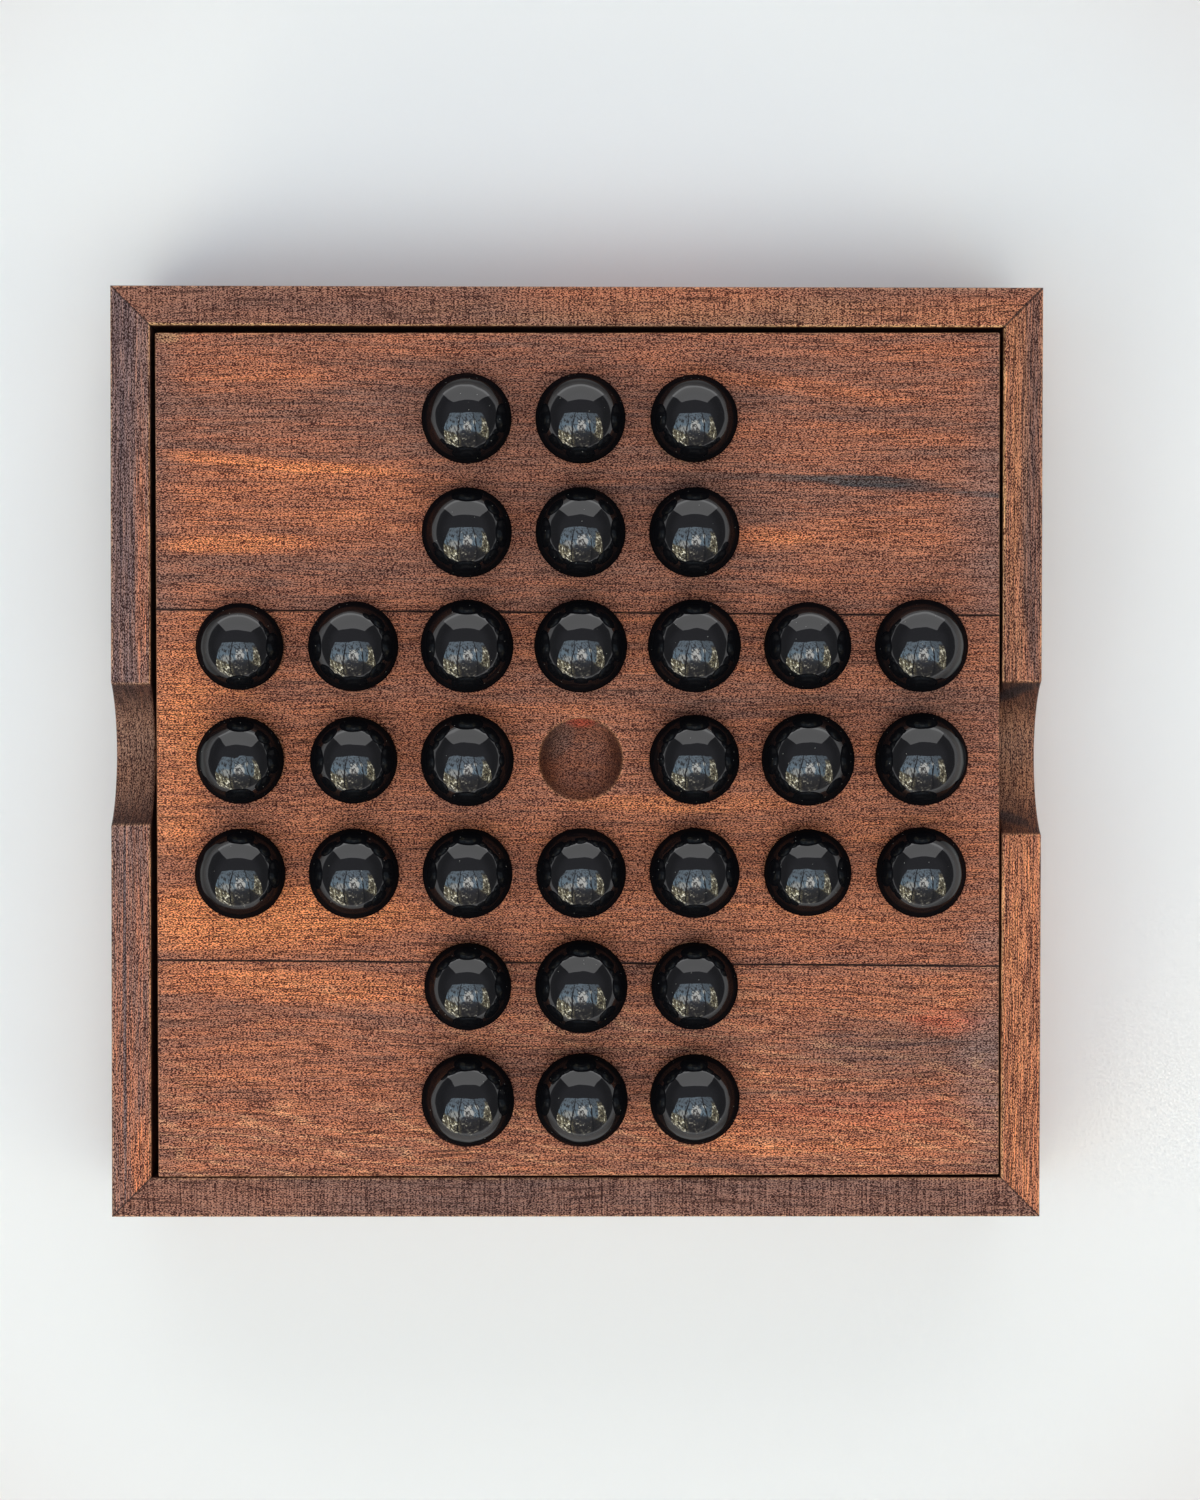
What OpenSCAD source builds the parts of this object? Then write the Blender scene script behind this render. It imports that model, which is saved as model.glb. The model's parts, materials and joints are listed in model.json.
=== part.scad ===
// Peg solitaire board with marbles: a square wooden case, a loose board
// of three planks that lifts out by two finger notches, and room below
// it where the marbles are kept. Millimetres. The middle of the case's
// lower edge is the origin, +Z is up, and the notched sides are on X.

/* [Playing field] */
// Distance between the centres of neighbouring cups
pitch = 20; // [16.6:0.1:24]
// Distance from the centre of an outermost cup to the board's edge
edge_margin = 14.75; // [10:0.25:20]
// How far the cups sit to the right of the board's middle
field_x = 0.4; // [-1:0.1:1]
// How far the cups sit behind the board's middle
field_y = -0.7; // [-1:0.1:1]
// Depth of a cup
cup_depth = 4.5; // [2.5:0.1:6]
// Radius that a cup has beyond the radius of a large marble
cup_clearance = 0.25; // [0.1:0.05:1]
// Width of the mark that the drill's point leaves in a cup
drill_mark_d = 1.6; // [0.8:0.1:3]
// Depth of the drill's mark
drill_mark_depth = 0.9; // [0.3:0.1:2]

/* [Marbles] */
// Diameter of a medium marble
marble_d = 16; // [12:0.1:19.2]
// Difference in diameter between one size of marble and the next
marble_step = 0.5; // [0:0.1:0.6]
// Air between a marble and the bottom of its cup
seat_gap = 0.05; // [0.03:0.01:0.2]

/* [Board] */
// Thickness of the board
board_t = 9.5; // [7.5:0.1:14]
// Room round the board in the case, for its width and for its depth
board_play = 1.5; // [0.6:0.05:3]
// Distance of the rear plank joint from the middle of the board
rear_joint_y = 25.3; // [15:0.1:31]
// How much nearer the front the rear joint is at its right-hand end
rear_joint_run = 1.2; // [0:0.1:3]
// Distance of the front plank joint from the middle of the board
front_joint_y = 36.9; // [20:0.1:45]
// How much nearer the front the front joint is at its right-hand end
front_joint_run = 1.4; // [0:0.1:3]

/* [Case] */
// Thickness of the case's sides
side_t = 7; // [5.5:0.1:10]
// Clear height of the room for the marbles below the board
room_h = 17.5; // [14:0.1:30]
// Thickness of the bottom panel
panel_t = 3; // [2:0.1:5]
// Height of the bottom panel above the case's lower edge
panel_lift = 3; // [1:0.1:6]
// Depth of the groove that holds the bottom panel
groove_depth = 3; // [2:0.1:4]
// Air above the panel in its groove
groove_air = 0.1; // [0.05:0.05:0.5]
// Air between the panel's edge and the bottom of its groove
panel_end_air = 0.5; // [0.1:0.1:1]
// Width of the ledges that the board lies on
ledge_w = 3.5; // [2:0.1:6]

/* [Finger notches] */
// Radius of the drum that cuts the notches
notch_r = 15; // [12:0.1:25]
// Depth of the notch in the left side
left_notch_depth = 6.8; // [4:0.1:9]
// Depth of the notch in the right side
right_notch_depth = 8.6; // [4:0.1:10.4]
// Distance of the left notch behind the middle of the case
left_notch_y = -0.3; // [-3:0.1:3]
// Distance of the right notch behind the middle of the case
right_notch_y = -0.8; // [-3:0.1:3]

/* [Hidden] */
// The cups from the back row to the front, with the marble that each holds:
// s small, m medium, l large, o an empty cup. A dot is a place with no cup.
field = [
    "..mms..",
    "..mmm..",
    "smlllsl",
    "sslomll",
    "mmmmmsm",
    "..sls..",
    "..llm.."
];
rows = len(field);
columns = len(field[0]);
column_letters = "abcdefg";

board_w = (columns - 1) * pitch + 2 * edge_margin;
opening_w = board_w + board_play;
case_w = opening_w + 2 * side_t;

room_floor = panel_lift + panel_t;
board_bottom = room_floor + room_h;
case_h = board_bottom + board_t;

// The loose board lies a little off the middle of the case, slightly turned
board_shift_x = 0.2 * board_play;
board_shift_y = -0.27 * board_play;
board_turn = asin(0.25 * board_play / board_w);

// Where each plank joint meets the left and the right edge of the board
rear_joint_left = rear_joint_y + rear_joint_run / 2;
rear_joint_right = rear_joint_y - rear_joint_run / 2;
front_joint_left = -front_joint_y + front_joint_run / 2;
front_joint_right = -front_joint_y - front_joint_run / 2;

cup_r = marble_r("l") + cup_clearance;
cup_bottom = case_h - cup_depth;
drill_mark_top = 0.3;

// A cut runs this far past the faces that it opens
past = 1;
$fn = 96;

side_color = [0.52, 0.36, 0.30];
notched_side_color = [0.51, 0.37, 0.33];
ledge_color = [0.55, 0.40, 0.30];
panel_color = [0.62, 0.48, 0.36];
rear_plank_color = [0.56, 0.36, 0.29];
middle_plank_color = [0.51, 0.33, 0.27];
front_plank_color = [0.60, 0.39, 0.32];
marble_color = [0.03, 0.03, 0.035];

function marble_r(size) =
    (marble_d + (size == "l" ? marble_step : size == "s" ? -marble_step : 0)) / 2;

function cell_x(column) = (column - (columns - 1) / 2) * pitch + field_x;
function cell_y(row) = ((rows - 1) / 2 - row) * pitch + field_y;

function has_cup(row, column) = field[row][column] != ".";
function has_marble(row, column) = has_cup(row, column) && field[row][column] != "o";
function marble_name(row, column) = str("marble_", column_letters[column], row + 1);

// One mitred side with its outer face at the front, grooved for the panel
module plain_side() {
    difference() {
        linear_extrude(case_h)
            polygon([
                [-case_w / 2, -case_w / 2],
                [case_w / 2, -case_w / 2],
                [opening_w / 2, -opening_w / 2],
                [-opening_w / 2, -opening_w / 2]
            ]);
        translate([-case_w / 2, -opening_w / 2 - groove_depth, panel_lift])
            cube([case_w, groove_depth + past, panel_t + groove_air]);
    }
}

// A round-bottomed notch in the top edge of a side that lies along Y
module notch(side_x, notch_y, depth) {
    translate([side_x, notch_y, case_h + notch_r - depth])
        rotate([0, 90, 0])
            cylinder(r = notch_r, h = side_t + 2 * past, center = true);
}

module back_side() {
    color(side_color) rotate([0, 0, 180]) plain_side();
}

module front_side() {
    color(side_color) plain_side();
}

module left_side() {
    color(notched_side_color)
        difference() {
            rotate([0, 0, -90]) plain_side();
            notch(-(opening_w + side_t) / 2, left_notch_y, left_notch_depth);
        }
}

module right_side() {
    color(notched_side_color)
        difference() {
            rotate([0, 0, 90]) plain_side();
            notch((opening_w + side_t) / 2, right_notch_y, right_notch_depth);
        }
}

module bottom_panel() {
    panel_w = opening_w + 2 * (groove_depth - panel_end_air);
    color(panel_color)
        translate([-panel_w / 2, -panel_w / 2, panel_lift])
            cube([panel_w, panel_w, panel_t]);
}

// A strip glued inside the case, standing on the panel. The left and right
// ones run the whole depth of the opening, and the others fit between them.
module ledge(from_x, from_y, size_x, size_y) {
    color(ledge_color)
        translate([from_x, from_y, room_floor])
            cube([size_x, size_y, room_h]);
}

module back_ledge() {
    ledge(-opening_w / 2 + ledge_w, opening_w / 2 - ledge_w, opening_w - 2 * ledge_w, ledge_w);
}

module front_ledge() {
    ledge(-opening_w / 2 + ledge_w, -opening_w / 2, opening_w - 2 * ledge_w, ledge_w);
}

module left_ledge() {
    ledge(-opening_w / 2, -opening_w / 2, ledge_w, opening_w);
}

module right_ledge() {
    ledge(opening_w / 2 - ledge_w, -opening_w / 2, ledge_w, opening_w);
}

// Puts what is drawn about the board's middle where the loose board lies
module on_board() {
    translate([board_shift_x, board_shift_y, 0])
        rotate([0, 0, board_turn])
            children();
}

module cup(row, column) {
    translate([cell_x(column), cell_y(row), 0]) {
        translate([0, 0, cup_bottom + cup_r])
            sphere(r = cup_r);
        translate([0, 0, cup_bottom - drill_mark_depth])
            cylinder(
                h = drill_mark_depth + drill_mark_top,
                d1 = 0,
                d2 = drill_mark_d * (1 + drill_mark_top / drill_mark_depth)
            );
    }
}

// Whether the cups of a row reach between two places across the board
function row_reaches(row, front_y, back_y) =
    cell_y(row) + cup_r > front_y && cell_y(row) - cup_r < back_y;

// One plank between two lines across the board, each given by its y at the
// left edge and at the right edge
module plank(front_left, front_right, back_left, back_right) {
    front_y = min(front_left, front_right);
    back_y = max(back_left, back_right);
    on_board()
        difference() {
            translate([0, 0, board_bottom])
                linear_extrude(board_t)
                    polygon([
                        [-board_w / 2, front_left],
                        [board_w / 2, front_right],
                        [board_w / 2, back_right],
                        [-board_w / 2, back_left]
                    ]);
            for (row = [0:rows - 1])
                for (column = [0:columns - 1])
                    if (has_cup(row, column) && row_reaches(row, front_y, back_y))
                        cup(row, column);
        }
}

module rear_plank() {
    color(rear_plank_color)
        plank(rear_joint_left, rear_joint_right, board_w / 2, board_w / 2);
}

module middle_plank() {
    color(middle_plank_color)
        plank(front_joint_left, front_joint_right, rear_joint_left, rear_joint_right);
}

module front_plank() {
    color(front_plank_color)
        plank(-board_w / 2, -board_w / 2, front_joint_left, front_joint_right);
}

module marble(row, column) {
    r = marble_r(field[row][column]);
    color(marble_color)
        on_board()
            translate([cell_x(column), cell_y(row), cup_bottom + seat_gap + r])
                sphere(r = r);
}

back_side();
front_side();
left_side();
right_side();
bottom_panel();
back_ledge();
front_ledge();
left_ledge();
right_ledge();
rear_plank();
middle_plank();
front_plank();
for (row = [0:rows - 1])
    for (column = [0:columns - 1])
        if (has_marble(row, column))
            marble(row, column);
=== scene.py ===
import json
import math

import bmesh
import bpy
from mathutils import Euler, Matrix, Vector, noise

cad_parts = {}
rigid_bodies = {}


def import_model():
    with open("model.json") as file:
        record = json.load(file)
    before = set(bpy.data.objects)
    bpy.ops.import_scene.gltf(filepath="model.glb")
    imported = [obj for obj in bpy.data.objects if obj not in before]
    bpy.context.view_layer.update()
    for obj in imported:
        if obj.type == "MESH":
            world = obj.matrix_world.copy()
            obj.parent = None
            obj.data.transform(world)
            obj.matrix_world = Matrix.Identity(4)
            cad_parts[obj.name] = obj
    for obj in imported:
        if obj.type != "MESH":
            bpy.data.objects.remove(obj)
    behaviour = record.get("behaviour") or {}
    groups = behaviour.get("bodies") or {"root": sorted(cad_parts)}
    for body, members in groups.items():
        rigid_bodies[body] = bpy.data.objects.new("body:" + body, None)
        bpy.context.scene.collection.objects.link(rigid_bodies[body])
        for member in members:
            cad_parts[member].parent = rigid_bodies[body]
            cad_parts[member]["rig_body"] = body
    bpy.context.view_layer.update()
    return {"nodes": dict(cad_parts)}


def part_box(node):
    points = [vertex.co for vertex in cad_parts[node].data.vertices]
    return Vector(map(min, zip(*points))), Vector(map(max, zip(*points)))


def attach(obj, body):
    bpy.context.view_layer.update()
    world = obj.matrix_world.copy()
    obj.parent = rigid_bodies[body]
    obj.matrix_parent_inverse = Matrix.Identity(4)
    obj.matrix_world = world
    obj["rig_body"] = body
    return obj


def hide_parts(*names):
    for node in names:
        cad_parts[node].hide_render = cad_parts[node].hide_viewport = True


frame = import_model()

scene = bpy.context.scene

# Millimetres are used for the shapes and the patterns, and metres in the finished meshes
MM = 0.001

# The loose board and its cups
BOARD_W = 149.5
BOARD_TOP = 33.0
BOARD_BOTTOM = 23.5
PITCH = 20.0
FIELD_X = 0.4
FIELD_Y = -0.7
CUP_R = 8.5
CUP_CENTRE_Z = 37.0
DRILL_MARK_R = 0.83
DRILL_MARK_Z = 27.6
LAND = 0.7
CUP_RIM = 0.22
CUP_STEPS = 72
CUP_RINGS = 11

# How many rows of cups lie past the middle one, along an arm of the field and across it
FIELD_REACH = 3
ARM_REACH = 1

# The two glued joints, given by y at the left edge and at the right edge
REAR_SEAM = (25.9, 24.7)
FRONT_SEAM = (-36.2, -37.6)
SEAM_HALF_W = 0.11
SEAM_DEPTH = 0.14

# Half the width of the opening of the case
OPENING_HALF = 75.5

# How far the edges are eased
BOARD_ARRIS = 0.35
SIDE_ARRIS = 0.4
MITRE_ARRIS = 0.05
STRIP_ARRIS = 0.3
EDGE_STEPS = 3
SMOOTH_BELOW = math.radians(42)
EASED_ABOVE = math.radians(20)

# How close two points are when they count as one: in a new shape, a cut or copied one, and a join
SAME_POINT = 1e-4
SAME_CUT = 1e-3
SAME_JOIN = 2e-3

# The marbles are this much smaller than their nodes, which leaves room for their waves,
# each given by how close together and how high it is
MARBLE_SHY = 0.05
MARBLE_SUBDIVISIONS = 5
MARBLE_SQUASH = (1, 0.998, 0.996, 1)
LONG_WAVE = (0.35, 0.025)
SHORT_WAVE = (0.8, 0.018)

# How deep the fine relief of a surface is
RELIEF = 0.05 * MM


# Finishes

def srgb(red, green, blue):
    """A colour as it is seen, in steps of 255, for a shader."""
    def channel(step):
        part = step / 255
        return part / 12.92 if part <= 0.04045 else ((part + 0.055) / 1.055) ** 2.4
    return (channel(red), channel(green), channel(blue), 1.0)


class Socket:
    """A value in a finish, on which arithmetic adds Math nodes."""

    def __init__(self, finish, link):
        self.finish = finish
        self.link = link

    def __add__(self, other):
        return self.finish.math("ADD", self, other)

    def __sub__(self, other):
        return self.finish.math("SUBTRACT", self, other)

    def __rsub__(self, other):
        return self.finish.math("SUBTRACT", other, self)

    def __mul__(self, other):
        return self.finish.math("MULTIPLY", self, other)

    def __truediv__(self, other):
        return self.finish.math("DIVIDE", self, other)

    def __abs__(self):
        return self.finish.math("ABSOLUTE", self)

    __radd__ = __add__
    __rmul__ = __mul__


class Finish:
    """The nodes of one material, or of the world."""

    def __init__(self, owner):
        owner.use_nodes = True
        self.owner = owner
        self.tree = owner.node_tree

    def feed(self, socket, value):
        if isinstance(value, Socket):
            self.tree.links.new(value.link, socket)
        else:
            socket.default_value = value

    def node(self, kind, settings=None, inputs=None, output=0):
        made = self.tree.nodes.new("ShaderNode" + kind)
        for name, value in (settings or {}).items():
            if name == "stops":
                self.set_stops(made.color_ramp, value)
            else:
                setattr(made, name, value)
        for name, value in (inputs or {}).items():
            self.feed(made.inputs[name], value)
        return Socket(self, made.outputs[output])

    def set_stops(self, ramp, stops):
        while len(ramp.elements) < len(stops):
            ramp.elements.new(0.5)
        for element, (position, colour) in zip(ramp.elements, stops):
            element.position = position
            element.color = colour

    def math(self, operation, first, second=0.0):
        return self.node("Math", {"operation": operation}, {0: first, 1: second})

    def parts(self, vector):
        """The X, Y and Z of a vector."""
        split = self.node("SeparateXYZ", inputs={0: vector})
        return [Socket(self, end) for end in split.link.node.outputs]

    def point(self, x, y, z):
        return self.node("CombineXYZ", inputs={0: x, 1: y, 2: z})

    def noise(self, x, y, z, detail=2.0, roughness=0.5):
        """Cloudy noise from 0 to 1."""
        return self.node(
            "TexNoise",
            inputs={
                "Vector": self.point(x, y, z),
                "Scale": 1.0,
                "Detail": detail,
                "Roughness": roughness,
            },
        )

    def rise(self, value, start, end):
        """0 up to the start and 1 from the end on, with a smooth rise between them."""
        return self.node(
            "MapRange",
            {"interpolation_type": "SMOOTHSTEP"},
            {"Value": value, "From Min": start, "From Max": end},
        )

    def mix(self, amount, first, second, blend="MIX"):
        """A colour between two colours."""
        return self.node(
            "Mix",
            {"data_type": "RGBA", "blend_type": blend},
            {0: amount, 6: first, 7: second},
            output=2,
        )

    def ramp(self, value, stops):
        return self.node("ValToRGB", {"stops": stops}, {0: value})

    def backdrop_rays(self):
        """Whether it is seen by the camera, mirrored in something, or seen through glass."""
        path = self.node("LightPath").link.node
        kinds = ["Is Camera Ray", "Is Glossy Ray", "Is Transmission Ray"]
        return [Socket(self, path.outputs[kind]) for kind in kinds]

    def streak(self, along, across, centre, size, lean=0.0):
        """A long soft patch that is 1 in its middle, leaning by so much across for each mm along."""
        off_along = along - centre[0]
        off_across = across - centre[1] - off_along * lean
        reach = off_along * off_along / size[0] ** 2 + off_across * off_across / size[1] ** 2
        return self.rise(reach, 1.6, 0.1)


PLANK_TONES = [
    (0.0, srgb(68, 47, 45)),
    (0.2, srgb(99, 67, 60)),
    (0.4, srgb(126, 78, 63)),
    (0.55, srgb(142, 82, 62)),
    (0.75, srgb(165, 92, 63)),
    (1.0, srgb(193, 109, 68)),
]
SIDE_TONES = [
    (0.0, srgb(58, 45, 48)),
    (0.2, srgb(85, 63, 64)),
    (0.4, srgb(107, 77, 74)),
    (0.55, srgb(122, 84, 75)),
    (0.75, srgb(149, 88, 68)),
    (1.0, srgb(186, 102, 64)),
]

# What lies on the stained wood, and the painted shade and highlight on it
END_BROWN = srgb(100, 76, 72)
LATEWOOD = srgb(208, 148, 108)
WEAR_AND_HIGHLIGHT = srgb(190, 136, 100)
HOLLOW_SHADE = srgb(180, 184, 196)
GAP_SHADE = srgb(120, 110, 112)
END_GRAIN_SHADE = srgb(130, 112, 108)
PORE = srgb(58, 32, 26)
GLUE_LINE = srgb(34, 25, 26)

# The flecks multiply the wood's colour by these and by the gain, from the darkest to the palest
FLECK_GAIN = 3.0
FLECKS = [
    (0.0, (0.07, 0.036, 0.03, 1.0)),
    (0.5, (0.333, 0.333, 0.333, 1.0)),
    (1.0, (0.73, 0.9, 0.9, 1.0)),
]

WOOD_SPECULAR = 0.14


def wood(
    name,
    grain,
    seed,
    tone,
    tones=PLANK_TONES,
    slant=20.0,
    sway=5.0,
    zones=0.45,
    streaky=0.45,
    fibres=1.3,
    flecks=9.5,
    cross_lines=0.0,
    latewood=0.0,
    lights=(),
    stains=(),
    hollows=(),
    seams=(),
    ends=0.0,
    mitred=False,
    pale_edge=None,
    drilled=False,
):
    """Stained hardwood with its grain along X or Y.

    slant is the angle of the growth layers and sway is how far they wander. zones, streaky,
    fibres and flecks say how strong the marks are, from the broadest to the finest.
    lights are streaks that make the tone lighter or darker, stains are streaks of a colour,
    hollows are patches of colour on what is cut below the top, some of them painted light and
    shade, and seams are glued joints, each given by its middle y and its lean. What is drilled is
    rough in every direction in its cups.
    """
    finish = Finish(bpy.data.materials.new(name))
    where = finish.node("TexCoord", output="Object")
    x, y, z = finish.parts(
        finish.node("VectorMath", {"operation": "SCALE"}, {0: where, "Scale": 1 / MM})
    )
    facing = finish.parts(finish.node("TexCoord", output="Normal"))
    if grain == "X":
        along, across, end_facing = x, y, abs(facing[0])
    else:
        along, across, end_facing = y, x, abs(facing[1])
    up_facing = facing[2]

    # Growth layers lie at a slant through the wood and sway along it
    sways = finish.noise(along * 0.014, across * 0.03, z * 0.03 + seed, 1.0)
    layer = (
        across * math.cos(math.radians(slant))
        + z * math.sin(math.radians(slant))
        + (sways - 0.5) * sway
    )
    shift = seed * 3.7
    depth = z - BOARD_TOP
    broad = finish.noise(along * 0.017 + shift, layer * 0.13, depth * 0.1 + seed + 0.66, 3.0, 0.55)
    streaks = finish.noise(
        along * 0.045 + shift, layer * 0.75, depth * 0.5 + seed + 0.99, 3.0, 0.62
    )
    fibre = finish.noise(along * 0.13 + shift, layer * 5.4, depth * 0.5 + seed + 3.3, 2.0, 0.75)
    face_fibre = finish.noise(along * 0.06 + shift, across * 4.0, depth * 4.0 + seed, 2.0, 0.7)
    upright = finish.rise(abs(up_facing), 0.5, 0.2)
    fibre = fibre + ((face_fibre - 0.5) * 0.65 + 0.5 - fibre) * upright
    fleck = finish.noise(along * 3.0, across * 7.6, z * 7.6, 0.0)
    vessel = finish.noise(along * 0.16 + shift, layer * 5.5, z * 5.5 + seed, 0.0)
    pores = finish.rise(vessel, 0.64, 0.74)

    below = finish.rise(z, BOARD_TOP - 0.1, BOARD_TOP - 0.8) * finish.rise(up_facing, 0.1, 0.3)
    if drilled:
        rough = finish.noise(x * 2.6, y * 2.6, z * 2.6 + seed, 2.0, 0.7)
        fibre = fibre + (rough - fibre) * (below * 0.7)

    level = tone + (broad - 0.5) * zones + (streaks - 0.5) * streaky + (fibre - 0.5) * fibres * 0.5
    for amount, centre, size, lean in lights:
        level = level + finish.streak(along, across, centre, size, lean) * amount
    colour = finish.ramp(level, tones)
    for tint, strength, centre, size, lean in stains:
        patch = finish.streak(along, across, centre, size, lean)
        broken = patch * (0.35 + finish.rise(streaks, 0.4, 0.6) * 0.65)
        colour = finish.mix(broken * strength, colour, tint)
    if ends:
        reach = finish.rise(abs(along) + (broad - 0.5) * 14.0, 68.0, 76.0)
        colour = finish.mix(reach * ends, colour, END_BROWN)

    near_top = finish.rise(z, BOARD_TOP - 0.7, BOARD_TOP - 0.3)
    if latewood:
        layer_line = across + along * 0.2 + (broad - 0.5) * 16.0
        wave = finish.math("SINE", layer_line * 2.3 + (streaks - 0.5) * 7.0)
        line = finish.rise(wave, 0.55, 1.0) * finish.rise(broad, 0.35, 0.6)
        colour = finish.mix(line * latewood, colour, LATEWOOD)
    # A pale band along the inner arris of a rail's top: worn stain, and on the back rail, whose
    # inner arris faces the window, also a painted highlight
    if pale_edge:
        tint, strength, width = pale_edge
        edge_gap = finish.math("MAXIMUM", abs(x), abs(y)) - OPENING_HALF
        ragged = edge_gap + (streaks - 0.5) * width * 3.0
        pale = finish.rise(ragged, width, width * 0.3) * finish.rise(broad, 0.3, 0.6)
        colour = finish.mix(pale * near_top * strength, colour, tint)
    # The eased edges near the top are paler: partly worn stain, partly a painted highlight where the
    # arris catches the light
    wear_and_highlight = finish.rise(up_facing, 0.25, 0.6) * finish.rise(up_facing, 0.995, 0.9)
    colour = finish.mix(wear_and_highlight * near_top * fibre * 0.5, colour, WEAR_AND_HIGHLIGHT)

    # Painted shade darkens what is cut below the top and what faces the gap; end grain is darker in
    # its own colour
    colour = finish.mix(below * 0.8, colour, HOLLOW_SHADE, "MULTIPLY")
    for tint, strength, centre, size, lean in hollows:
        patch = finish.streak(along, across, centre, size, lean) * below
        colour = finish.mix(patch * strength, colour, tint)
    inside = finish.math("MAXIMUM", abs(x), abs(y)) - (OPENING_HALF + 0.1)
    hidden = finish.rise(inside, 0.1, -0.1) * finish.rise(up_facing, 0.3, 0.05)
    colour = finish.mix(hidden * 0.8, colour, GAP_SHADE, "MULTIPLY")
    end_grain = finish.rise(end_facing, 0.35, 0.8)
    colour = finish.mix(end_grain * 0.7, colour, END_GRAIN_SHADE, "MULTIPLY")

    fine = 0.5 + (fibre - 0.5) * fibres * 2.8 + (fleck - 0.5) * (1 - upright * 0.6) * flecks
    if cross_lines:
        marks = finish.noise(along * 5.5 + shift, across * 0.2, z * 0.2 + seed, 0.0)
        fine = fine + (marks - 0.5) * cross_lines * finish.rise(up_facing, 0.3, 0.8)
    shades = finish.ramp(fine, FLECKS)
    colour = finish.node("VectorMath", {"operation": "MULTIPLY"}, {0: colour, 1: shades})
    colour = finish.node("VectorMath", {"operation": "SCALE"}, {0: colour, "Scale": FLECK_GAIN})
    colour = finish.mix(pores * 0.6, colour, PORE)

    for middle_y, lean in seams:
        off = abs(y - middle_y - x * lean) + (fibre - 0.5) * 0.3
        colour = finish.mix(finish.rise(off, 0.3, 0.1) * near_top * 0.9, colour, GLUE_LINE)
    if mitred:
        gap = abs(abs(x) - abs(y)) - finish.rise(x + y, 120.0, 130.0) * 0.12
        colour = finish.mix(finish.rise(gap, 0.24, 0.1) * 0.8, colour, GLUE_LINE)

    height = fibre * 0.6 + fleck * 0.4 - pores * 0.8
    bump = finish.node(
        "Bump", inputs={"Height": height, "Strength": 0.6, "Distance": RELIEF}
    )
    shader = finish.tree.nodes["Principled BSDF"]
    finish.feed(shader.inputs["Base Color"], colour)
    finish.feed(shader.inputs["Roughness"], 0.6 - fibre * 0.16 + pores * 0.2 - below * 0.1)
    finish.feed(shader.inputs["Normal"], bump)
    shader.inputs["Specular IOR Level"].default_value = WOOD_SPECULAR
    return finish.owner


GLASS_BLACK = (0.004, 0.004, 0.005, 1.0)
GLASS_DUST = srgb(120, 118, 112)
GLASS_IOR = 1.7
GLASS_ROUGHNESS = 0.015
DUST_CELLS = 0.75


def black_glass():
    """Polished black glass with faint ripples and specks of dust."""
    finish = Finish(bpy.data.materials.new("black_glass"))
    where = finish.node("TexCoord", output="Object")
    x, y, z = finish.parts(
        finish.node("VectorMath", {"operation": "SCALE"}, {0: where, "Scale": 1 / MM})
    )
    speckle = finish.node(
        "TexVoronoi",
        {"feature": "F1"},
        {"Vector": finish.point(x, y, z), "Scale": DUST_CELLS},
    )
    chosen = finish.parts(Socket(finish, speckle.link.node.outputs["Color"]))[0]
    dust = finish.rise(speckle, 0.085, 0.05) * finish.rise(chosen, 0.45, 0.6)
    ripple = finish.noise(x * 0.45, y * 0.45, z * 0.45, 2.0)
    bump = finish.node(
        "Bump", inputs={"Height": ripple + dust * 0.2, "Strength": 0.6, "Distance": RELIEF}
    )
    edge_on = finish.node("LayerWeight", inputs={"Blend": 0.5}, output="Facing")
    shader = finish.tree.nodes["Principled BSDF"]
    colour = finish.mix(dust, GLASS_BLACK, GLASS_DUST)
    finish.feed(shader.inputs["Base Color"], colour)
    finish.feed(shader.inputs["Roughness"], 0.5 + ripple * 0.2)

    # The glass reflects less seen edge-on, a painted darkening of its rim where it mirrors the
    # shaded wood and marbles round it, but less so on the outer side of the outermost marbles
    outward = finish.rise(finish.math("MAXIMUM", abs(x), abs(y)), 63.5, 67.5)
    edge_on_dimming = finish.rise(edge_on, 0.3, 0.44) * 0.7 * (1 - outward * 0.8)
    dull_rim = finish.rise(edge_on, 0.48, 0.6) * 0.92
    finish.feed(shader.inputs["Coat Weight"], (1 - edge_on_dimming) * (1 - dull_rim))
    finish.feed(shader.inputs["Normal"], bump)
    shader.inputs["Specular IOR Level"].default_value = 0.0
    shader.inputs["Coat IOR"].default_value = GLASS_IOR
    shader.inputs["Coat Roughness"].default_value = GLASS_ROUGHNESS
    return finish.owner


# Pieces

def finish_piece(name, shape, node, material, eased=None):
    """Makes the shape, drawn in millimetres, the piece that stands for a node."""
    for edge in shape.edges:
        edge.smooth = len(edge.link_faces) == 2 and edge.calc_face_angle() < SMOOTH_BELOW
    for face in shape.faces:
        face.smooth = True
    shape.transform(Matrix.Scale(MM, 4))
    mesh = bpy.data.meshes.new(name)
    shape.to_mesh(mesh)
    shape.free()
    mesh.materials.append(material)
    piece = bpy.data.objects.new(name, mesh)
    scene.collection.objects.link(piece)
    if eased:
        bevel = piece.modifiers.new("eased_edges", "BEVEL")
        bevel.width = eased * MM
        bevel.segments = EDGE_STEPS
        bevel.limit_method = "WEIGHT"
    flats = piece.modifiers.new("flat_faces", "WEIGHTED_NORMAL")
    flats.keep_sharp = True
    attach(piece, frame["nodes"][node]["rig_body"])
    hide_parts(node)
    return piece


def to_square(vert, angle):
    """Moves a point of a round outline out to the square round one cup."""
    side = round(angle / (math.pi / 2))
    share = (angle - side * math.pi / 2) / (math.pi / 4)
    turn = Matrix.Rotation(side * math.pi / 2, 3, "Z")
    vert.co.xy = (turn @ Vector((PITCH / 2, share * PITCH / 2, 0))).xy


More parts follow.
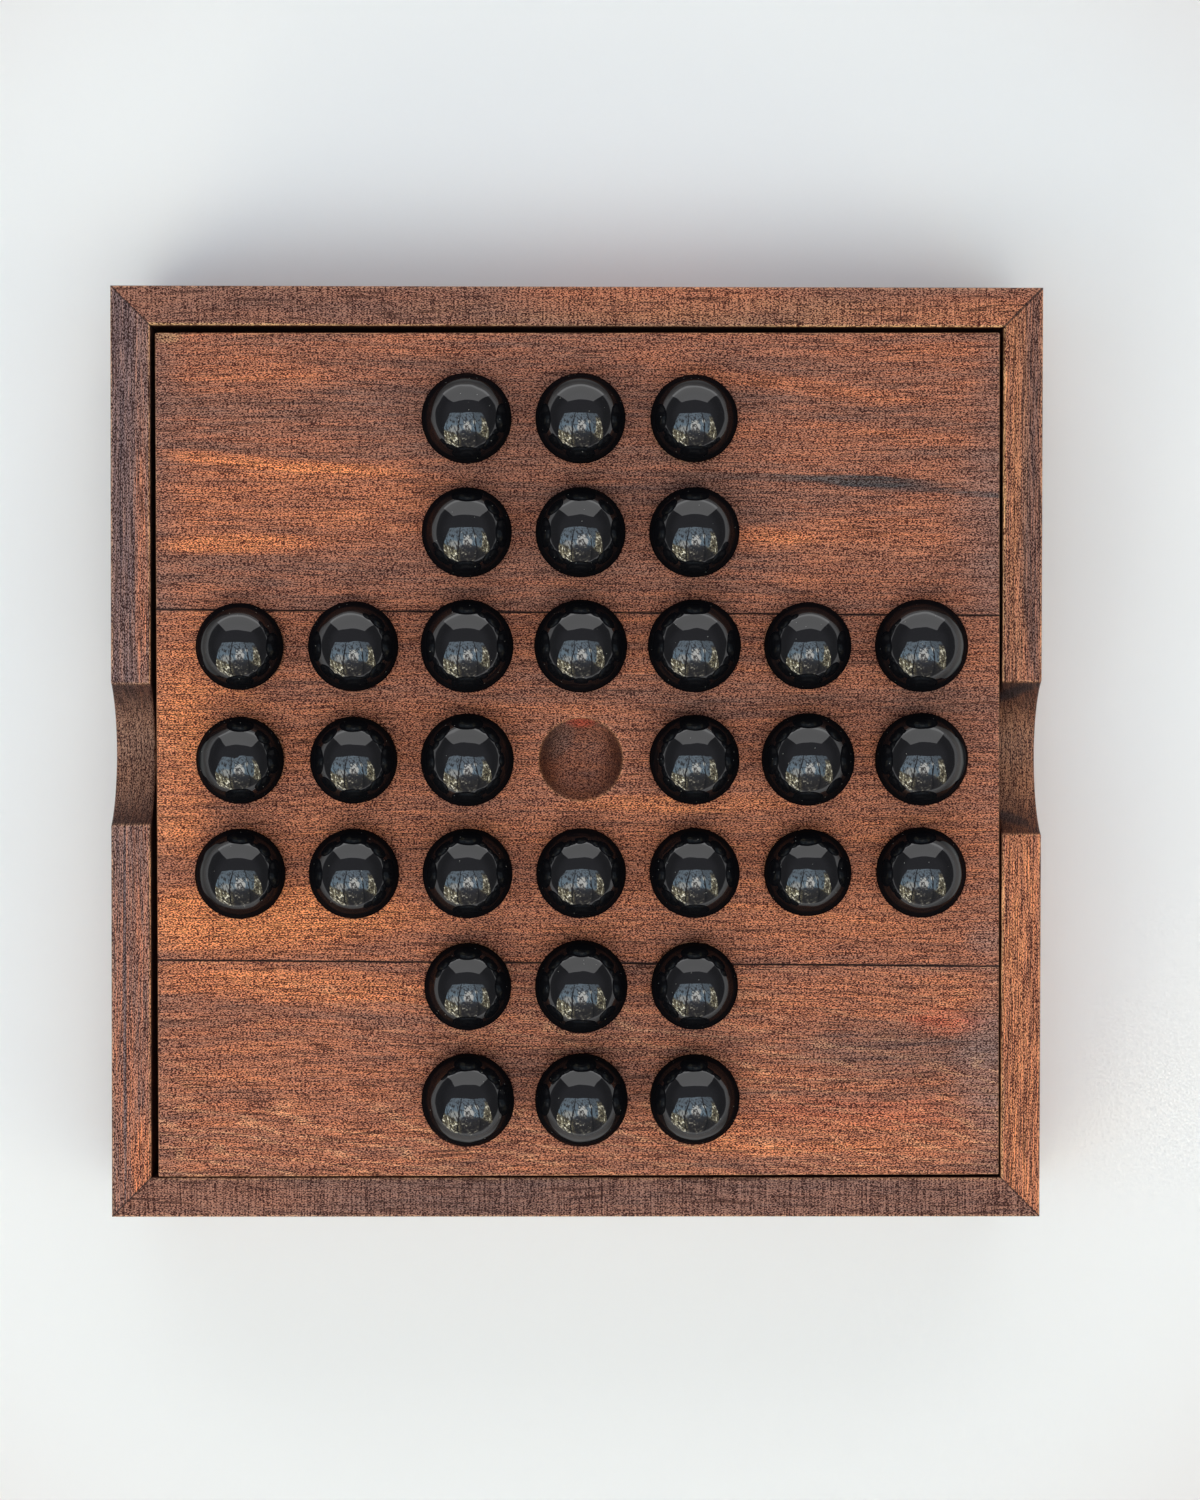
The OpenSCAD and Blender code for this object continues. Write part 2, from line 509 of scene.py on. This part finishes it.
def cup_shape():
    """One cup about the Z axis, in the middle of its square of the board's top."""
    shape = bmesh.new()
    mouth_angle = math.acos((CUP_CENTRE_Z - BOARD_TOP) / CUP_R)
    mark_angle = math.asin(DRILL_MARK_R / CUP_R)
    mouth_r = CUP_R * math.sin(mouth_angle)
    profile = [shape.verts.new((mouth_r + LAND, 0, BOARD_TOP))]
    for ring in range(CUP_RINGS + 1):
        angle = mouth_angle + (mark_angle - mouth_angle) * ring / CUP_RINGS
        profile.append(
            shape.verts.new(
                (CUP_R * math.sin(angle), 0, CUP_CENTRE_Z - CUP_R * math.cos(angle))
            )
        )
    profile.append(shape.verts.new((0, 0, DRILL_MARK_Z)))
    lines = [shape.edges.new(pair) for pair in zip(profile, profile[1:])]
    bmesh.ops.spin(
        shape,
        geom=profile + lines,
        cent=(0, 0, 0),
        axis=(0, 0, 1),
        dvec=(0, 0, 0),
        angle=math.tau,
        steps=CUP_STEPS,
        use_merge=True,
    )
    bmesh.ops.remove_doubles(shape, verts=shape.verts, dist=SAME_POINT)
    rim = [
        edge
        for edge in shape.edges
        if all(
            abs(vert.co.z - BOARD_TOP) < SAME_POINT and vert.co.xy.length < mouth_r + LAND / 2
            for vert in edge.verts
        )
    ]
    bmesh.ops.bevel(
        shape,
        geom=rim,
        affect="EDGES",
        offset=CUP_RIM,
        segments=EDGE_STEPS,
        profile=0.5,
        material=-1,
    )
    outline = [edge for edge in shape.edges if edge.is_boundary]
    added = bmesh.ops.extrude_edge_only(shape, edges=outline)["geom"]
    for item in added:
        if isinstance(item, bmesh.types.BMVert):
            to_square(item, math.atan2(item.co.y, item.co.x))
    return shape


def cut_grid(shape):
    """Divides the board along the lines halfway between the cups."""
    for line in range(-FIELD_REACH - 1, FIELD_REACH + 1):
        offset = (line + 0.5) * PITCH
        for middle, across in (
            ((offset + FIELD_X, 0, 0), (1, 0, 0)),
            ((0, offset + FIELD_Y, 0), (0, 1, 0)),
        ):
            everything = shape.verts[:] + shape.edges[:] + shape.faces[:]
            bmesh.ops.bisect_plane(
                shape, geom=everything, dist=SAME_POINT, plane_co=middle, plane_no=across
            )


def board_shape():
    """The whole board with its 33 cups, about its own middle."""
    shape = bmesh.new()
    thickness = BOARD_TOP - BOARD_BOTTOM
    size = Matrix.Diagonal((BOARD_W, BOARD_W, thickness, 1))
    middle = Matrix.Translation((0, 0, BOARD_BOTTOM + thickness / 2))
    bmesh.ops.create_cube(shape, size=1, matrix=middle @ size)
    bmesh.ops.bevel(
        shape,
        geom=shape.edges[:],
        affect="EDGES",
        offset=BOARD_ARRIS,
        segments=EDGE_STEPS,
        profile=0.5,
        material=-1,
    )
    cut_grid(shape)
    places = [
        Vector((column * PITCH + FIELD_X, row * PITCH + FIELD_Y, BOARD_TOP))
        for row in range(-FIELD_REACH, FIELD_REACH + 1)
        for column in range(-FIELD_REACH, FIELD_REACH + 1)
        if abs(row) <= ARM_REACH or abs(column) <= ARM_REACH
    ]
    cells = [
        face
        for face in shape.faces
        if any((face.calc_center_median() - place).length < 1 for place in places)
    ]
    cell_edges = [edge for edge in shape.edges if any(face in cells for face in edge.link_faces)]
    bmesh.ops.delete(shape, geom=cells, context="FACES_ONLY")
    bmesh.ops.subdivide_edges(shape, edges=cell_edges, cuts=CUP_STEPS // 4 - 1)

    cup = cup_shape()
    cup_mesh = bpy.data.meshes.new("cup")
    cup.to_mesh(cup_mesh)
    cup.free()
    for place in places:
        before = len(shape.verts)
        shape.from_mesh(cup_mesh)
        shape.verts.ensure_lookup_table()
        bmesh.ops.translate(shape, verts=shape.verts[before:], vec=(place.x, place.y, 0))
    bpy.data.meshes.remove(cup_mesh)
    bmesh.ops.remove_doubles(shape, verts=shape.verts, dist=SAME_JOIN)
    bmesh.ops.recalc_face_normals(shape, faces=shape.faces)
    return shape


def saw(shape, seam, side):
    """Cuts the shape at a seam and keeps what lies behind it (1) or in front of it (-1)."""
    middle = Vector((0, sum(seam) / 2, 0))
    outward = Vector((seam[0] - seam[1], BOARD_W, 0)).normalized() * -side
    everything = shape.verts[:] + shape.edges[:] + shape.faces[:]
    cut = bmesh.ops.bisect_plane(
        shape,
        geom=everything,
        dist=SAME_CUT,
        plane_co=middle,
        plane_no=outward,
        clear_outer=True,
    )
    edges = [item for item in cut["geom_cut"] if isinstance(item, bmesh.types.BMEdge)]
    verts = [item for item in cut["geom_cut"] if isinstance(item, bmesh.types.BMVert)]
    cap = bmesh.ops.edgenet_fill(shape, edges=edges)["faces"]
    bmesh.ops.triangulate(shape, faces=cap)
    everything = shape.verts[:] + shape.edges[:] + shape.faces[:]
    bmesh.ops.bisect_plane(
        shape,
        geom=everything,
        dist=SAME_CUT,
        plane_co=middle - outward * SEAM_HALF_W,
        plane_no=outward,
    )
    for vert in verts:
        if vert.is_valid and vert.co.z > BOARD_TOP - SAME_CUT:
            vert.co.z -= SEAM_DEPTH


def marble_middle(name):
    low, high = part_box("marble_" + name)
    return (low + high) / 2


def laid_in_case():
    """Where the board lies, from the marbles at the two ends of its middle row."""
    left = marble_middle("a4")
    right = marble_middle("g4")
    run = right - left
    turn = Matrix.Rotation(math.atan2(run.y, run.x), 4, "Z")
    middle = (left + right) / (2 * MM)
    middle.z = 0
    return Matrix.Translation(middle - turn @ Vector((FIELD_X, FIELD_Y, 0))) @ turn


def make_planks(finishes):
    whole = board_shape()
    whole_mesh = bpy.data.meshes.new("board")
    whole.to_mesh(whole_mesh)
    whole.free()
    cuts = {
        "rear": [(REAR_SEAM, 1)],
        "middle": [(REAR_SEAM, -1), (FRONT_SEAM, 1)],
        "front": [(FRONT_SEAM, -1)],
    }
    for which, seams in cuts.items():
        shape = bmesh.new()
        shape.from_mesh(whole_mesh)
        for seam, side in seams:
            saw(shape, seam, side)
        bmesh.ops.recalc_face_normals(shape, faces=shape.faces)
        shape.transform(laid_in_case())
        finish_piece(
            which + "_board", shape, which + "_plank", finishes[which]
        )
    bpy.data.meshes.remove(whole_mesh)


def eased_copy(name, node, slot, material, arris):
    """A copy of a straight-edged node with its edges eased, and the mitres much less."""
    shape = bmesh.new()
    shape.from_mesh(frame["nodes"][node].data)
    shape.transform(Matrix.Scale(1 / MM, 4))
    bmesh.ops.remove_doubles(shape, verts=shape.verts, dist=SAME_CUT)
    bmesh.ops.dissolve_limit(
        shape, angle_limit=math.radians(0.5), verts=shape.verts, edges=shape.edges
    )
    weight = shape.edges.layers.float.new("bevel_weight_edge")
    for edge in shape.edges:
        if len(edge.link_faces) != 2 or edge.calc_face_angle() < EASED_ABOVE:
            continue
        mitred = any(
            abs(abs(face.normal.x) - abs(face.normal.y)) < 0.02 and abs(face.normal.z) < 0.02
            for face in edge.link_faces
        )
        edge[weight] = MITRE_ARRIS / arris if mitred else 1.0
    return finish_piece(name, shape, node, material, eased=arris)


def make_marbles(material):
    for node in sorted(frame["nodes"]):
        if not node.startswith("marble_"):
            continue
        low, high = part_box(node)
        radius = (high.z - low.z) / (2 * MM)
        column = ord(node[-2]) - ord("a")
        row = int(node[-1])
        turn = Euler((column * 0.9, row * 1.3, column + row)).to_matrix().to_4x4()
        uneven = 0.6 + (column * 3 + row * 5) % 7 / 5
        shape = bmesh.new()
        bmesh.ops.create_icosphere(
            shape, subdivisions=MARBLE_SUBDIVISIONS, radius=radius - MARBLE_SHY
        )
        for vert in shape.verts:
            long_wave = noise.noise(vert.co * LONG_WAVE[0]) * LONG_WAVE[1]
            short_wave = noise.noise(vert.co * SHORT_WAVE[0]) * SHORT_WAVE[1]
            vert.co += vert.co.normalized() * (long_wave + short_wave) * uneven
        shape.transform(turn @ Matrix.Diagonal(MARBLE_SQUASH))
        shape.transform(Matrix.Translation((low + high) / (2 * MM)))
        finish_piece("ball_" + node[-2:], shape, node, material)


GREY = srgb(84, 66, 62)
GREY_BROWN = srgb(112, 88, 84)
RED = srgb(172, 78, 54)
CUP_PAINTED_LIGHT = srgb(176, 62, 44)
GOLD = srgb(214, 160, 104)
ORANGE = srgb(198, 124, 78)
OCHRE = srgb(146, 98, 70)
STREAK_DARK = srgb(62, 52, 52)
END_DARK = srgb(54, 44, 46)
NOTCH_BROWN = srgb(130, 84, 62)


def laid_seam(seam):
    """The middle y and the lean of a joint of the board as it lies in the case."""
    left = laid_in_case() @ Vector((-BOARD_W / 2, seam[0], 0))
    right = laid_in_case() @ Vector((BOARD_W / 2, seam[1], 0))
    lean = (right.y - left.y) / (right.x - left.x)
    return left.y - left.x * lean, lean


# A light is how much it changes the tone, the middle of the streak along and across the grain,
# half its length and width, and its lean. A stain or a hollow starts with a colour and a strength.
rear_seam = laid_seam(REAR_SEAM)
front_seam = laid_seam(FRONT_SEAM)
plank_finishes = {
    "rear": wood(
        "rear_plank_wood", grain="X", seed=1.0, tone=0.485, slant=12, streaky=0.65, ends=0.4,
        seams=[rear_seam], drilled=True,
        lights=[
            (0.12, (-57, 67), (14, 4), -0.03),
            (-0.1, (-42, 60), (34, 5), -0.02),
            (0.3, (-52, 51), (28, 1.3), -0.08),
            (0.16, (-50, 44), (34, 8), -0.03),
            (0.35, (-61, 37), (17, 1.8), 0.0),
            (0.12, (60, 71), (24, 2), 0.0),
            (-0.14, (42, 61), (40, 1.8), -0.12),
            (-0.12, (62, 54), (28, 1.4), -0.13),
            (0.16, (34, 66), (26, 1.4), -0.13),
            (0.12, (50, 56), (30, 2.5), 0.0),
            (0.24, (33, 38.2), (9, 1.5), 0.0),
            (-0.12, (30, 42), (9, 1.5), 0.0),
            (0.12, (54, 38), (20, 5), -0.04),
        ],
        stains=[
            (STREAK_DARK, 1.7, (54, 47.8), (12, 1.3), -0.07),
            (STREAK_DARK, 1.2, (60, 47.0), (24, 0.6), -0.09),
            (GREY, 0.8, (42, 48.6), (30, 0.7), -0.03),
            (GREY, 0.3, (60, 35), (24, 2.0), -0.06),
            (GREY_BROWN, 0.3, (72, 42), (6, 14), 0.0),
            (GOLD, 0.3, (-73, 73.6), (3, 1.2), -0.1),
        ],
    ),
    "middle": wood(
        "middle_plank_wood", grain="X", seed=2.0, tone=0.605, slant=8, streaky=0.65, ends=0.2,
        seams=[rear_seam, front_seam], drilled=True,
        lights=[
            (0.16, (-66, 12), (12, 12), 0.0),
            (0.25, (-71, -3), (7, 16), 0.0),
            (-0.1, (0, 11), (70, 3), 0.0),
            (0.3, (20, -9), (20, 2), 0.0),
            (0.12, (0, -15), (90, 4), 0.0),
            (0.42, (-58, -29), (30, 6), 0.02),
            (0.1, (50, -30), (25, 5), 0.0),
            (-0.12, (66, 5), (12, 9), 0.0),
        ],
        stains=[(GREY_BROWN, 0.5, (73, -33), (4, 3), 0.0)],
        # In the empty middle cup: a painted highlight on its rear wall, which faces the window, and
        # painted shade on its left-rear wall
        hollows=[
            (CUP_PAINTED_LIGHT, 0.45, (0.6, 5.6), (2.8, 1.1), 0.0),
            (GREY, 0.5, (-3.4, 2.5), (3, 3.5), 0.4),
        ],
    ),
    "front": wood(
        "front_plank_wood", grain="X", seed=3.0, tone=0.55, slant=35, sway=9, streaky=0.75,
        latewood=0.25, ends=0.3, seams=[front_seam], drilled=True,
        lights=[
            (0.3, (-50, -41), (36, 3.5), -0.05),
            (0.1, (-50, -56), (30, 9), 0.0),
            (0.14, (50, -43), (34, 4), 0.0),
            (-0.2, (58, -53), (22, 3.4), 0.0),
            (0.15, (40, -68), (30, 4), 0.0),
        ],
        stains=[
            (RED, 0.75, (66, -47.5), (7, 2.4), 0.0),
            (RED, 0.3, (52, -64), (24, 3), 0.0),
            (GREY_BROWN, 0.6, (74, -56), (7, 12), 0.0),
        ],
    ),
}
# The back rail's pale inner edge is in part a painted highlight, where it faces the window
back_finish = wood(
    "back_side_wood", grain="X", seed=4.0, tone=0.37, slant=60, zones=0.5, streaky=0.3,
    fibres=0.5, flecks=9.0, cross_lines=2.4, mitred=True, pale_edge=(GOLD, 0.35, 0.4),
    lights=[(0.25, (12, 80), (26, 4), 0.0), (0.2, (70, 78), (24, 3), 0.0)],
    stains=[(OCHRE, 0.35, (30, 78), (60, 2.6), 0.0)],
)
front_finish = wood(
    "front_side_wood", grain="X", seed=5.0, tone=0.3, slant=60, zones=0.3, streaky=0.2,
    fibres=0.6, flecks=7.5, cross_lines=3.0, mitred=True,
    lights=[(0.12, (-66, -79), (20, 4), 0.0)],
)
left_finish = wood(
    "left_side_wood", grain="Y", seed=6.0, tone=0.5, tones=SIDE_TONES, slant=10, sway=2,
    zones=0.4, streaky=0.4, fibres=1.8, flecks=7.5, mitred=True, pale_edge=(ORANGE, 0.5, 0.3),
    lights=[
        (-0.15, (44, -79.4), (50, 1.3), 0.0),
        (0.16, (34, -77), (26, 1.2), 0.0),
        (-0.15, (50, -81.5), (50, 1.2), 0.0),
        (0.16, (-50, -78), (40, 5), 0.0),
        (-0.4, (-46, -80.1), (36, 0.3), 0.0),
        (0.2, (-74, -77), (10, 2), 0.0),
    ],
    hollows=[(NOTCH_BROWN, 0.6, (-1, -79), (12, 8), 0.0)],
)
right_finish = wood(
    "right_side_wood", grain="Y", seed=7.0, tone=0.5, slant=10, sway=2, zones=0.4,
    streaky=0.6, fibres=2.2, flecks=7.0, mitred=True, pale_edge=(GOLD, 0.3, 0.5),
    stains=[(OCHRE, 0.4, (50, 77.5), (60, 2.4), 0.0), (OCHRE, 0.25, (-46, 79), (44, 3), 0.0)],
    lights=[
        (-0.27, (50, 80.8), (40, 1.8), 0.0),
        (0.08, (50, 77), (40, 1.6), 0.0),
        (0.2, (-46, 79), (44, 5), 0.0),
    ],
    # The END_DARK patches darken the ends of the notch; the front one is painted shade on the steep
    # end wall that faces away from the window
    hollows=[
        (NOTCH_BROWN, 0.6, (-1, 79), (12, 8), 0.0),
        (END_DARK, 0.9, (10.6, 77.2), (1.6, 2.6), 1.6),
        (END_DARK, 0.5, (12.0, 78.0), (1.0, 4.0), 0.0),
        (END_DARK, 0.7, (-11.6, 77.6), (1.4, 2.4), -1.6),
    ],
)
ledge_finish = wood("ledge_wood", grain="X", seed=8.0, tone=0.5)
cross_ledge_finish = wood("cross_ledge_wood", grain="Y", seed=9.0, tone=0.5)
panel_finish = wood("panel_wood", grain="X", seed=10.0, tone=0.6, slant=30)
glass = black_glass()

# The straight-edged pieces, with the node, slot, finish and eased edge of each
STRAIGHT_PIECES = [
    ("back_rail", "back_side", "cross_side_wood", back_finish, SIDE_ARRIS),
    ("front_rail", "front_side", "cross_side_wood", front_finish, SIDE_ARRIS),
    ("left_rail", "left_side", "notched_side_wood", left_finish, SIDE_ARRIS),
    ("right_rail", "right_side", "notched_side_wood", right_finish, SIDE_ARRIS),
    ("back_strip", "back_ledge", "ledge_wood", ledge_finish, STRIP_ARRIS),
    ("front_strip", "front_ledge", "ledge_wood", ledge_finish, STRIP_ARRIS),
    ("left_strip", "left_ledge", "ledge_wood", cross_ledge_finish, STRIP_ARRIS),
    ("right_strip", "right_ledge", "ledge_wood", cross_ledge_finish, STRIP_ARRIS),
    ("base_panel", "bottom_panel", "panel_wood", panel_finish, STRIP_ARRIS),
]

make_planks(plank_finishes)
for straight_piece in STRAIGHT_PIECES:
    eased_copy(*straight_piece)
make_marbles(glass)

# Floor

BACKDROP = srgb(228, 229, 230)
FLOOR_SIZE = 4.0
# The card is painted paler near the board than far from it, as painted light round the board
CARD_NEAR = srgb(246, 242, 239)
CARD_NEAR_PALE = srgb(249, 245, 242)
CARD_FAR = srgb(229, 214, 209)

floor_shape = bmesh.new()
bmesh.ops.create_grid(floor_shape, x_segments=4, y_segments=4, size=FLOOR_SIZE)
floor_mesh = bpy.data.meshes.new("floor")
floor_shape.to_mesh(floor_mesh)
floor_shape.free()
floor = bpy.data.objects.new("floor", floor_mesh)
scene.collection.objects.link(floor)

floor_finish = Finish(bpy.data.materials.new("pale_card"))
card_x, card_y, card_z = floor_finish.parts(floor_finish.node("TexCoord", output="Object"))
card_cloud = floor_finish.noise(card_x * 6.0, card_y * 6.0, card_z, 2.0)
card_colour = floor_finish.mix(card_cloud, CARD_NEAR, CARD_NEAR_PALE)
squared_distance = card_x * card_x + card_y * card_y
# Painted light and shade: the card is paler near the board and darker far from it
far = floor_finish.rise(squared_distance, 0.02, 0.05)
card_colour = floor_finish.mix(far * 0.8, card_colour, CARD_FAR)
card_shader = floor_finish.tree.nodes["Principled BSDF"]
floor_finish.feed(card_shader.inputs["Base Color"], card_colour)
floor_finish.feed(card_shader.inputs["Roughness"], 0.9 - card_cloud * 0.05)
card_shader.inputs["Specular IOR Level"].default_value = 0.0

# Far from the board the card fades into the plain backdrop
direct, mirrored, through = floor_finish.backdrop_rays()
seen = floor_finish.math("MINIMUM", direct + mirrored + through, 1.0)
faded = floor_finish.node(
    "MixShader",
    inputs={
        0: floor_finish.rise(squared_distance, 0.1, 0.8) * seen,
        1: Socket(floor_finish, card_shader.outputs["BSDF"]),
        2: floor_finish.node("Emission", inputs={"Color": BACKDROP}),
    },
)
floor_finish.feed(floor_finish.tree.nodes["Material Output"].inputs["Surface"], faded)
floor_mesh.materials.append(floor_finish.owner)

# Light

# The window in front: its lower left corner, its width and its height
WINDOW_FOOT = Vector((-2.3, -2.5, -0.08))
WINDOW_ACROSS = Vector((4.6, 0, 0))
WINDOW_UP = Vector((0, 3.06, 2.64))

# Where the glass starts above the window's foot and how high it is, as shares of the height
PANE_SILL = 0.05
PANE_HEIGHT = 0.93

# What is seen through the window
LOW_SKY = (2.4, 3.5, 4.3, 1)
HIGH_SKY = (1.9, 2.5, 3.0, 1)
SUNLIT_HAZE = (7.0, 6.8, 6.0, 1)
SUNLIT_TREE = (8.5, 8.5, 8.0, 1)
TWIG = (0.2, 0.2, 0.18, 1)
GLINT = (12.0, 12.0, 11.0, 1)
DEEP_SHADE = (0.16, 0.15, 0.18, 1)
LIGHT_IN_SHADE = (5.0, 4.6, 3.6, 1)
LEAVES = [
    (0.36, (0.15, 0.14, 0.08, 1)),
    (0.45, (2.2, 1.8, 1.0, 1)),
    (0.56, (5.0, 4.6, 2.8, 1)),
    (0.64, (22.0, 21.0, 17.0, 1)),
]

# The room round the board
DARK_WALL = (0.13, 0.13, 0.137, 1.0)
CEILING = (0.23, 0.23, 0.25, 1.0)
HORIZON = (1.0, 1.0, 1.02, 1.0)


def light_panel(name, corner, right, up, radiance):
    """A soft rectangular light that starts at a corner and faces the board."""
    corner, right, up = Vector(corner), Vector(right), Vector(up)
    lamp = bpy.data.lights.new(name, "AREA")
    lamp.shape = "RECTANGLE"
    lamp.size = right.length
    lamp.size_y = up.length
    lamp.energy = radiance * math.pi * right.length * up.length
    light = bpy.data.objects.new(name, lamp)
    middle = corner + right / 2 + up / 2
    side = right.normalized()
    rise = up.normalized()
    back = side.cross(rise)
    if back.dot(middle) < 0:
        side, back = -side, -back
    turn = Matrix((side, rise, back)).transposed().to_4x4()
    light.matrix_world = Matrix.Translation(middle) @ turn
    light.visible_camera = False
    scene.collection.objects.link(light)
    return light


def garden_light(lamp):
    """What shines through the window: hazy sky, sunlit leaves and a shaded corner."""
    view = Finish(lamp)
    x, y, z = view.parts(view.node("NewGeometry", output="Position"))
    across = (x - WINDOW_FOOT.x) / WINDOW_ACROSS.x
    rise = (z - WINDOW_FOOT.z) / WINDOW_UP.z
    clouds = view.noise(across * 5.0, rise * 4.0, 0.3, 2.0)
    leaves = view.noise(across * 20.0, rise * 16.0, 2.6, 3.0, 0.72)
    twigs = view.noise(across * 16.0 + rise * 4.0, rise * 7.0, 5.1, 2.0)

    def glow(centre, size):
        off = (across - centre[0]) * (1 / size[0])
        up = (rise - centre[1]) * (1 / size[1])
        return view.rise(off * off + up * up, 1.5, 0.2)

    light = view.mix(view.rise(rise, 0.5, 0.8), LOW_SKY, HIGH_SKY)
    light = view.mix(glow((0.31, 0.52), (0.12, 0.08)) * leaves * 1.5, light, SUNLIT_HAZE)
    tree_line = 0.46 + view.rise(across, 0.72, 0.86) * 0.36 + (clouds - 0.5) * 0.3
    trees = view.rise(rise - tree_line + (leaves - 0.5) * 0.3, 0.03, -0.03)
    light = view.mix(trees, light, view.ramp(leaves, LEAVES))
    ragged = view.rise(glow((0.52, 0.61), (0.09, 0.15)) + (leaves - 0.5) * 2.6, 0.6, 0.85)
    light = view.mix(ragged, light, SUNLIT_TREE)
    light = view.mix(view.rise(abs(twigs - 0.5), 0.055, 0.015) * 0.9, light, TWIG)
    light = view.mix(glow((0.66, 0.7), (0.025, 0.05)), light, GLINT)
    shade_line = 0.54 - view.rise(across, 0.56, 1.0) * 0.4 + (leaves - 0.5) * 0.25
    shade = view.rise(rise - shade_line, 0.02, -0.04) * view.rise(across, 0.34, 0.44)
    shaded = view.mix(view.rise(leaves, 0.6, 0.68), DEEP_SHADE, LIGHT_IN_SHADE)
    light = view.mix(shade * 0.95, light, shaded)
    view.feed(view.tree.nodes["Emission"].inputs["Color"], light)


def window_pane(name, left, right, radiance):
    """A pane of the slanted window in front, by its share of the window's width."""
    corner = WINDOW_FOOT + WINDOW_ACROSS * left + WINDOW_UP * PANE_SILL
    width = WINDOW_ACROSS * (right - left)
    pane = light_panel(name, corner, width, WINDOW_UP * PANE_HEIGHT, radiance)
    garden_light(pane.data)


window_pane("left_pane", 0.02, 0.36, 0.625)
window_pane("middle_pane", 0.38, 0.65, 0.655)
window_pane("right_pane", 0.67, 0.99, 0.45)
light_panel("back_card", (-1.9, 2.0, 0.0), (3.8, 0, 0), (0, 0.3, 2.4), 1.02)

world = bpy.data.worlds.new("room")
scene.world = world
room = Finish(world)
height = room.parts(room.node("TexCoord", output="Generated"))[2]
walls = room.mix(room.rise(height, 0.35, 0.75), DARK_WALL, CEILING)
low_down = room.rise(height, 0.12, 0.04)
walls = room.mix(low_down, walls, HORIZON)
direct, mirrored, through = room.backdrop_rays()
seen = room.math("MINIMUM", direct + (mirrored + through) * low_down, 1.0)
room.feed(room.tree.nodes["Background"].inputs["Color"], room.mix(seen, walls, BACKDROP))

# Camera

SENSOR_WIDTH = 36
FOCAL_LENGTH = 71.77
CAMERA_PLACE = (-0.0011, 0.0109, 0.563)
CAMERA_TURN = (math.radians(-1.12), math.radians(-0.56), math.radians(0.07))

lens = bpy.data.cameras.new("camera")
lens.sensor_width = SENSOR_WIDTH
lens.lens = FOCAL_LENGTH
camera = bpy.data.objects.new("camera", lens)
camera.location = CAMERA_PLACE
camera.rotation_euler = CAMERA_TURN
scene.collection.objects.link(camera)
scene.camera = camera
scene.view_settings.view_transform = "Standard"
